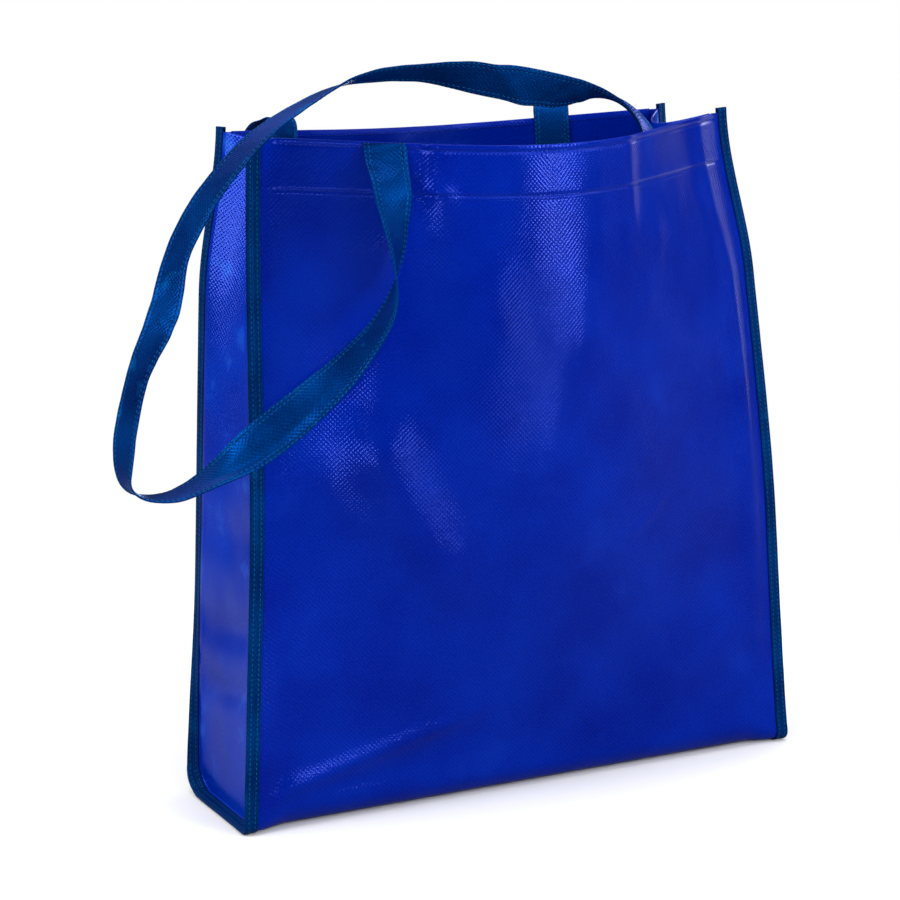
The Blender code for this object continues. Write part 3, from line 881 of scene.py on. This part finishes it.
# The two handles: straps with a stitched fold along each edge.
handle = {
    "width": 0.025, "thickness": 0.0010, "hemGap": 0.0006,
    "sewnLength": 0.029, "sewnSteps": 8,
    "looseStart": (0.036, 0.012),  # where a handle comes free, and over what length
    "stitchRows": (0.0010, 0.0034),  # from each edge
    "threadStarts": ((1, 0.0021), (-1, 0.0007)),  # on the two faces
    "groove": (0.0006, 0.00016),  # half width and depth
    "edgePuff": (0.0022, 0.0009, 0.00022),  # distance from the edge, half width, height
    "grain": (0.00008, 260.0, 120.0),  # height, scale along and across
    # ripples that bend it: height, scale along, lean, scale across and seed
    "ripples": [(0.0006, 34.0, 0.0, 22.0, 0.0), (0.00025, 110.0, 90.0, 60.0, 2.0)],
    "seed": {"front": 5.0, "back": 9.0},
    # bends: place along it, across it (share), half length, half width (share), height,
    # and how far it shifts along the strap towards the higher edge
    "bends": {
        "front": [
            (0.043, 0.0, 0.006, 2.0, -0.0014, 0.0),
            (0.062, 0.1, 0.009, 2.0, 0.0022, 0.004),
            (0.238, -0.35, 0.028, 0.30, 0.0030, 0.006),
            (0.424, -0.30, 0.004, 0.70, 0.0014, 0.004),
            (0.438, 0.40, 0.005, 0.60, -0.0010, -0.003),
            (0.700, 0.0, 0.007, 2.0, -0.0020, 0.0115),
            (0.733, 0.1, 0.004, 0.90, 0.0014, -0.008),
            (0.748, 0.2, 0.004, 0.80, -0.0012, 0.010),
        ],
        "back": [],
    },
    "ends": {"front": (-0.608, 0.560), "back": (-0.700, 0.578)},
    "rise": {"front": 0.0, "back": 0.008},
    "rimAngles": (30.0, 60.0, 90.0, 120.0, 150.0),
    "landing": (2 / 3, 5 / 6, 1.0),
    # x, y, z in millimetres and the twist of the strap in degrees
    "route": {
        "front": [
            (-96, -85, 370, 72), (-98, -92, 338, 34), (-106, -94, 311, 0), (-126, -94, 287, -20),
            (-153, -92, 265, -45), (-180, -87, 245, -60), (-207, -79, 227, -15),
            (-232, -67, 214, 0), (-251, -55, 218, 0), (-251, -48, 242, 10),
            (-239, -42, 279, 10), (-221, -39, 313, 25),
            (-210, -35, 345, 15), (-196, -39, 372, 15), (-176, -45, 398, 10), (-152, -50, 419, 5),
            (-122, -53, 435, -5), (-96, -60, 443, -20), (-65, -68, 444, -25), (-30, -78, 439, -50),
            (13, -82, 430, -50), (54, -76, 423, 10), (81, -62, 405, 42), (86, -62, 391, 65),
        ],
        "back": [
            (-108, 98, 395, 90), (-112, 106, 362, 85), (-112, 112, 325, 70), (-105, 118, 288, 45),
            (-92, 123, 252, 20), (-72, 126, 222, 5), (-45, 128, 200, 0), (-13, 128, 190, 0),
            (20, 128, 192, 0), (50, 127, 207, 0), (76, 124, 233, 10), (94, 120, 267, 30),
            (104, 114, 303, 60), (107, 107, 340, 80), (105, 101, 372, 90),
        ],
    },
    "units": (1000, 1000, 1000, 1),
    "endTwists": {"front": (120, 60), "back": (90, 90)},
    "routeSteps": 10, "spacing": 0.0020, "smoothing": 6,
    # cross-section: rows beside the edges (start, end, step), the flat part between them
    # (half width, rows) and the angles of the rounded edges
    "edgeRows": (0.0, 0.0048, 0.0006),
    "flatRows": (0.0058, 7),
    "roundAngles": (60, 20, -20, -60),
    "undersideUv": 0.03,
}
strapHalf = handle["width"] / 2
strapTop = handle["thickness"] / 2


def strapPlaces(u, side):
    half = strapHalf / halfWidth
    return np.array([u - side * half, u, u + side * half])


def sewnRow(face, u, side, depth):
    point, down, inward = hemPoint(face, strapPlaces(u, side), depth)
    return point + inward * (handle["hemGap"] + strapTop)


def rimRow(face, u, side, angle, rise):
    point, down, inward = panelFrame(face, strapPlaces(u, side), 1.0)
    radius = rimRadius + handle["hemGap"] + strapTop
    swing = math.radians(angle)
    outwards = radius * math.cos(swing) - rise * (1 - math.cos(swing)) / 2
    return point + inward * (rimRadius + outwards) - down * (radius + rise) * math.sin(swing)


def hermite(controls):
    tangents = np.gradient(controls, axis=0)
    points = []
    for index in range(len(controls) - 1):
        for t in np.arange(handle["routeSteps"]) / handle["routeSteps"]:
            points.append(
                controls[index] * (2 * t**3 - 3 * t**2 + 1)
                + tangents[index] * (t**3 - 2 * t**2 + t)
                + controls[index + 1] * (3 * t**2 - 2 * t**3)
                + tangents[index + 1] * (t**3 - t**2)
            )
    points.append(controls[-1])
    return np.array(points)


def freeRows(controls):
    route = hermite(controls)
    centres = route[:, :3]
    rows = []
    for centre, along, twist in zip(centres, unit(np.gradient(centres, axis=0)), route[:, 3]):
        deep = unit(np.array((0.0, 1.0, 0.0)) - along * along[1])
        beside = np.cross(along, deep)
        angle = math.radians(twist)
        half = (deep * math.cos(angle) + beside * math.sin(angle)) * strapHalf
        rows.append([centre - half, centre, centre + half])
    return rows


def handleRows(face):
    length, steps = handle["sewnLength"], handle["sewnSteps"]
    start, end = handle["ends"][face]

    def overRim(u, side):
        rows = [sewnRow(face, u, side, length * (1 - step / steps)) for step in range(steps + 1)]
        rise = handle["rise"][face]
        return rows + [rimRow(face, u, side, angle, rise) for angle in handle["rimAngles"]]

    first = overRim(start, 1)
    if face == "front":
        last = [sewnRow(face, end, 1, length * share) for share in handle["landing"]]
    else:
        last = overRim(end, -1)[::-1]
    twists = handle["endTwists"][face]
    route = np.array(handle["route"][face]) / handle["units"]
    controls = np.vstack([(*first[-1][1], twists[0]), route, (*last[0][1], twists[1])])
    return np.array(first + freeRows(controls)[1:-1] + last)


def strapFrames(face):
    # even places along a strap, with its three points and its outward direction there
    rows = handleRows(face)
    lengths = lengthsAlong(rows[:, 1])
    count = int(lengths[-1] / handle["spacing"])
    places = np.linspace(0.0, lengths[-1], count + 1)
    rows = sampleAt(places, lengths, rows.reshape(-1, 9)).reshape(-1, 3, 3)
    # a light smoothing takes out the joints between the laid and the free rows
    for turn in range(handle["smoothing"]):
        middle = (rows[:-2] + 2 * rows[1:-1] + rows[2:]) / 4
        rows[6:-6] = middle[5:-5]
    along = unit(np.gradient(rows[:, 1], axis=0))
    across = rows[:, 2] - rows[:, 0]
    across = unit(across - along * np.sum(across * along, axis=1, keepdims=True))
    return places, rows, np.cross(along, across)


def strapSection():
    # offsets across the strap and out of its two faces, once round
    edge = np.arange(*handle["edgeRows"])
    reach, count = handle["flatRows"]
    corner = strapHalf - strapTop
    flat = np.concatenate([edge - corner, np.linspace(-reach, reach, count), (corner - edge)[::-1]])
    section = [(x, strapTop) for x in flat]
    for swing in np.radians(handle["roundAngles"]):
        section.append((corner + strapTop * math.cos(swing), strapTop * math.sin(swing)))
    return section + [(-x, -height) for x, height in section]


def strapDent(place, x, side, seed):
    # how far each face stands out: the folded edges and the grooves of the stitches
    inset = strapHalf - abs(x)
    puffAt, puffHalf, puff = handle["edgePuff"]
    half, depth = handle["groove"]
    value = puff * hill(inset, puffAt, puffHalf)
    for row in handle["stitchRows"]:
        value -= depth * hill(inset, row, half)
    height, along, across = handle["grain"]
    return value + height * noise.noise(Vector((place * along, x * across, seed + side)))


def strapBend(face, place, x, seed):
    # how far both faces bend together
    value = 0.0
    for height, along, lean, across, shift in handle["ripples"]:
        spot = Vector((place * along + x * lean, x * across, seed + shift))
        value += height * noise.noise(spot)
    share = x / strapHalf
    for middle, across, halfLength, halfAcross, height, slant in handle["bends"][face]:
        away = ((place - middle - slant * share) / halfLength) ** 2
        away += ((share - across) / halfAcross) ** 2
        value += height * math.exp(-away)
    return value


def strapLine(face, frames, x, height):
    # the line along a strap at an offset from its middle and from its mid plane
    places, rows, facing = frames
    free, over = handle["looseStart"]
    loose = smooth((places - free) / over) * smooth((places[-1] - free - places) / over)
    seed = handle["seed"][face]
    side = 1 if height > 0 else -1
    flat = abs(height) == strapTop
    share = x / strapHalf
    line = []
    for index, place in enumerate(places):
        bend = strapBend(face, place, x, seed) * loose[index]
        dent = side * strapDent(place, x, side, seed) if flat else 0.0
        low, middle, high = rows[index]
        beside = high - middle if share > 0 else middle - low
        line.append(middle + beside * share + facing[index] * (height + bend + dent))
    return line


def makeStrap(name, face, frames):
    section = strapSection()
    places = frames[0]
    grid = np.stack([strapLine(face, frames, x, height) for x, height in section], axis=1)
    wide = np.array([x + (0.0 if height > 0 else handle["undersideUv"]) for x, height in section])
    uvs = uvGrid(wide, -places)
    item = pieceFromGrid(name, grid, uvs, [strapMaterial], closed=True)
    capEnds(item, len(section), len(places))
    return item


def strapRuns(face, frames):
    # four stitch rows on each face
    runs = []
    for inset in handle["stitchRows"]:
        for edge in (-1, 1):
            for side, start in handle["threadStarts"]:
                points = strapLine(face, frames, edge * (strapHalf - inset), side * strapTop)
                runs.append(stitchRun(points, frames[2] * side, start))
    return runs


def capEnds(item, wide, rows):
    mesh = bmesh.new()
    mesh.from_mesh(item.data)
    mesh.verts.ensure_lookup_table()
    mesh.faces.new(mesh.verts[:wide])
    mesh.faces.new(mesh.verts[wide * (rows - 1) :][::-1])
    bmesh.ops.recalc_face_normals(mesh, faces=mesh.faces)
    mesh.to_mesh(item.data)
    mesh.free()
    item.data.shade_smooth()


for face in ("front", "back"):
    strap = strapFrames(face)
    piece = makeStrap(face + "Handle", face, strap)
    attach(piece, "root")
    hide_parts(face + "_handle")
    makeThread(face + "HandleThread", strapRuns(face, strap), tealThread)
print("handles made")

# The floor, the light and the camera.
studio = {
    "worldLevel": (0.06, 0.55),  # at the skyline and overhead
    "worldSpan": (0.05, 0.9),  # between which heights of the sky it changes
    "floorSize": 14.0, "floorDrop": 0.0002,
    "floorSeen": 0.92,  # colour of the floor as seen, and as it lights the bag
    "floorColour": 0.30,
    "fade": (0.28, 0.75),  # distances between which the seen floor turns plain white
    # upright softboxes: turn from the front towards the right, distance, lowest and
    # highest point, width, brightness and whether it is round
    "softboxes": [
        ("frontKey", 18.0, 1.5, 0.29, 0.58, 0.46, 27.0, True),
        ("keyTip", 20.0, 1.5, 0.22, 0.34, 0.18, 16.0, True),
        ("midStrip", 70.0, 1.4, 0.24, 0.45, 0.06, 3.0, False),
        ("sideStrip", 106.0, 1.4, 0.02, 0.45, 0.2, 1.5, False),
        ("edgeStrip", 52.0, 1.5, 0.0, 0.14, 0.1, 3.0, False),
        ("leftStrip", -95.0, 1.5, 0.53, 0.8, 0.68, 9.5, False),
        ("leftSpot", -127.0, 1.5, 0.26, 0.38, 0.14, 2.0, True),
        ("cornerStrip", -41.0, 1.5, 0.4, 0.45, 0.1, 14.0, False),
        ("narrowStrip", -32.0, 1.5, 0.24, 0.36, 0.07, 3.5, True),
        ("lowStrip", -46.0, 1.0, 0.02, 0.18, 0.14, 19.0, False),
        ("bandStrip", 6.0, 1.0, 0.005, 0.12, 0.14, 22.0, True),
        ("strapSpot", 60.0, 0.8, 1.7, 1.96, 0.36, 20.0, True),
        ("endSpot", 114.0, 1.4, 0.48, 0.8, 0.4, 9.0, True),
        ("leftFill", -82.0, 1.9, 0.8, 1.8, 0.9, 9.0, False),
        ("frontFill", 5.0, 1.9, 0.8, 1.9, 1.0, 4.2, False),
        ("rightFill", 48.0, 1.9, 0.6, 1.8, 0.9, 3.2, False),
        ("backStrip", 156.0, 1.4, 0.1, 0.45, 0.4, 5.0, False),
        ("backFill", 190.0, 1.9, 1.5, 2.4, 1.2, 2.0, False),
    ],
    "topLamp": (1.9, 1.3, 3.4),  # height, size and brightness
}
view = {
    "target": (-0.025, 0.0, 0.2086),
    "distance": 1.5567,
    "yaw": 25.1326, "pitch": 10.5, "roll": -1.6872,
    "lens": 100.0, "sensor": 36.0, "clipStart": 0.01,
}


def matt(tree, level):
    return node(tree, "BsdfDiffuse", {"Color": (level, level, level)})


def shine(tree, strength, kind="Background"):
    return node(tree, kind, {"Color": (1.0, 1.0, 1.0), "Strength": strength})


def mixShader(tree, share, first, second):
    return node(tree, "MixShader", (share, first, second))


def cameraSees(tree, lit, seen):
    # one shader lights the bag, the other is what the lens sees
    path = node(tree, "LightPath", output="Is Camera Ray")
    return mixShader(tree, path, lit, seen)


def makeFloor():
    mesh = bpy.data.meshes.new("floor")
    half = studio["floorSize"] / 2
    corners = [(-half, -half, 0), (half, -half, 0), (half, half, 0), (-half, half, 0)]
    mesh.from_pydata(corners, [], [(0, 1, 2, 3)])
    floor = addObject("floor", mesh)
    material, tree = newMaterial("paleFloor")
    tree.nodes.clear()
    # the lens sees a pale floor that keeps the shadow and turns white further out
    place = node(tree, "TexCoord", output="Object")
    away = node(tree, "VectorMath", (place,), "Value", operation="LENGTH")
    fade = spread(tree, away, studio["fade"], interpolation_type="SMOOTHSTEP")
    white = shine(tree, 1.0, "Emission")
    seen = mixShader(tree, fade, matt(tree, studio["floorSeen"]), white)
    chosen = cameraSees(tree, matt(tree, studio["floorColour"]), seen)
    node(tree, "OutputMaterial", {"Surface": chosen})
    mesh.materials.append(material)
    floor.location.z = min(cadBox[0][2], 0.0) - studio["floorDrop"]


def makeWorld():
    world = bpy.data.worlds.new("studio")
    world.use_nodes = True
    tree = world.node_tree
    tree.nodes.clear()
    place = node(tree, "TexCoord", output="Generated")
    upwards = node(tree, "SeparateXYZ", (place,), "Z")
    strength = spread(tree, upwards, studio["worldSpan"], studio["worldLevel"])
    chosen = cameraSees(tree, shine(tree, strength), shine(tree, 1.0))
    node(tree, "OutputWorld", {"Surface": chosen})
    bpy.context.scene.world = world


def addSoftbox(name, place, target, width, height, brightness, rounded=False):
    data = bpy.data.lights.new(name, "AREA")
    data.shape = "ELLIPSE" if rounded else "RECTANGLE"
    data.size, data.size_y = width, height
    data.energy = brightness * math.pi * width * height * (math.pi / 4 if rounded else 1.0)
    lamp = addObject(name, data)
    lamp.location = place
    lamp.rotation_euler = (Vector(target) - Vector(place)).to_track_quat("-Z", "Y").to_euler()
    lamp.visible_camera = False


def makeLamps():
    for name, turn, distance, low, high, width, brightness, rounded in studio["softboxes"]:
        swing = math.radians(turn)
        middle = (low + high) / 2
        place = (distance * math.sin(swing), -distance * math.cos(swing), middle)
        addSoftbox(name, place, (0.0, 0.0, middle), width, high - low, brightness, rounded)
    height, size, brightness = studio["topLamp"]
    addSoftbox("topLamp", (0.0, 0.0, height), (0.0, 0.0, 0.0), size, size, brightness)


def makeCamera():
    turn = Matrix()
    for angle, axis in ((-view["yaw"], "Z"), (90.0 - view["pitch"], "X"), (view["roll"], "Z")):
        turn = turn @ Matrix.Rotation(math.radians(angle), 4, axis)
    data = bpy.data.cameras.new("camera")
    data.lens = view["lens"]
    data.sensor_width = view["sensor"]
    data.clip_start = view["clipStart"]
    camera = addObject("camera", data)
    place = Vector(view["target"]) + turn @ Vector((0.0, 0.0, view["distance"]))
    camera.matrix_world = Matrix.Translation(place) @ turn
    bpy.context.scene.camera = camera


makeFloor()
makeWorld()
makeLamps()
makeCamera()
bpy.context.scene.view_settings.view_transform = "Standard"
print("stage made")
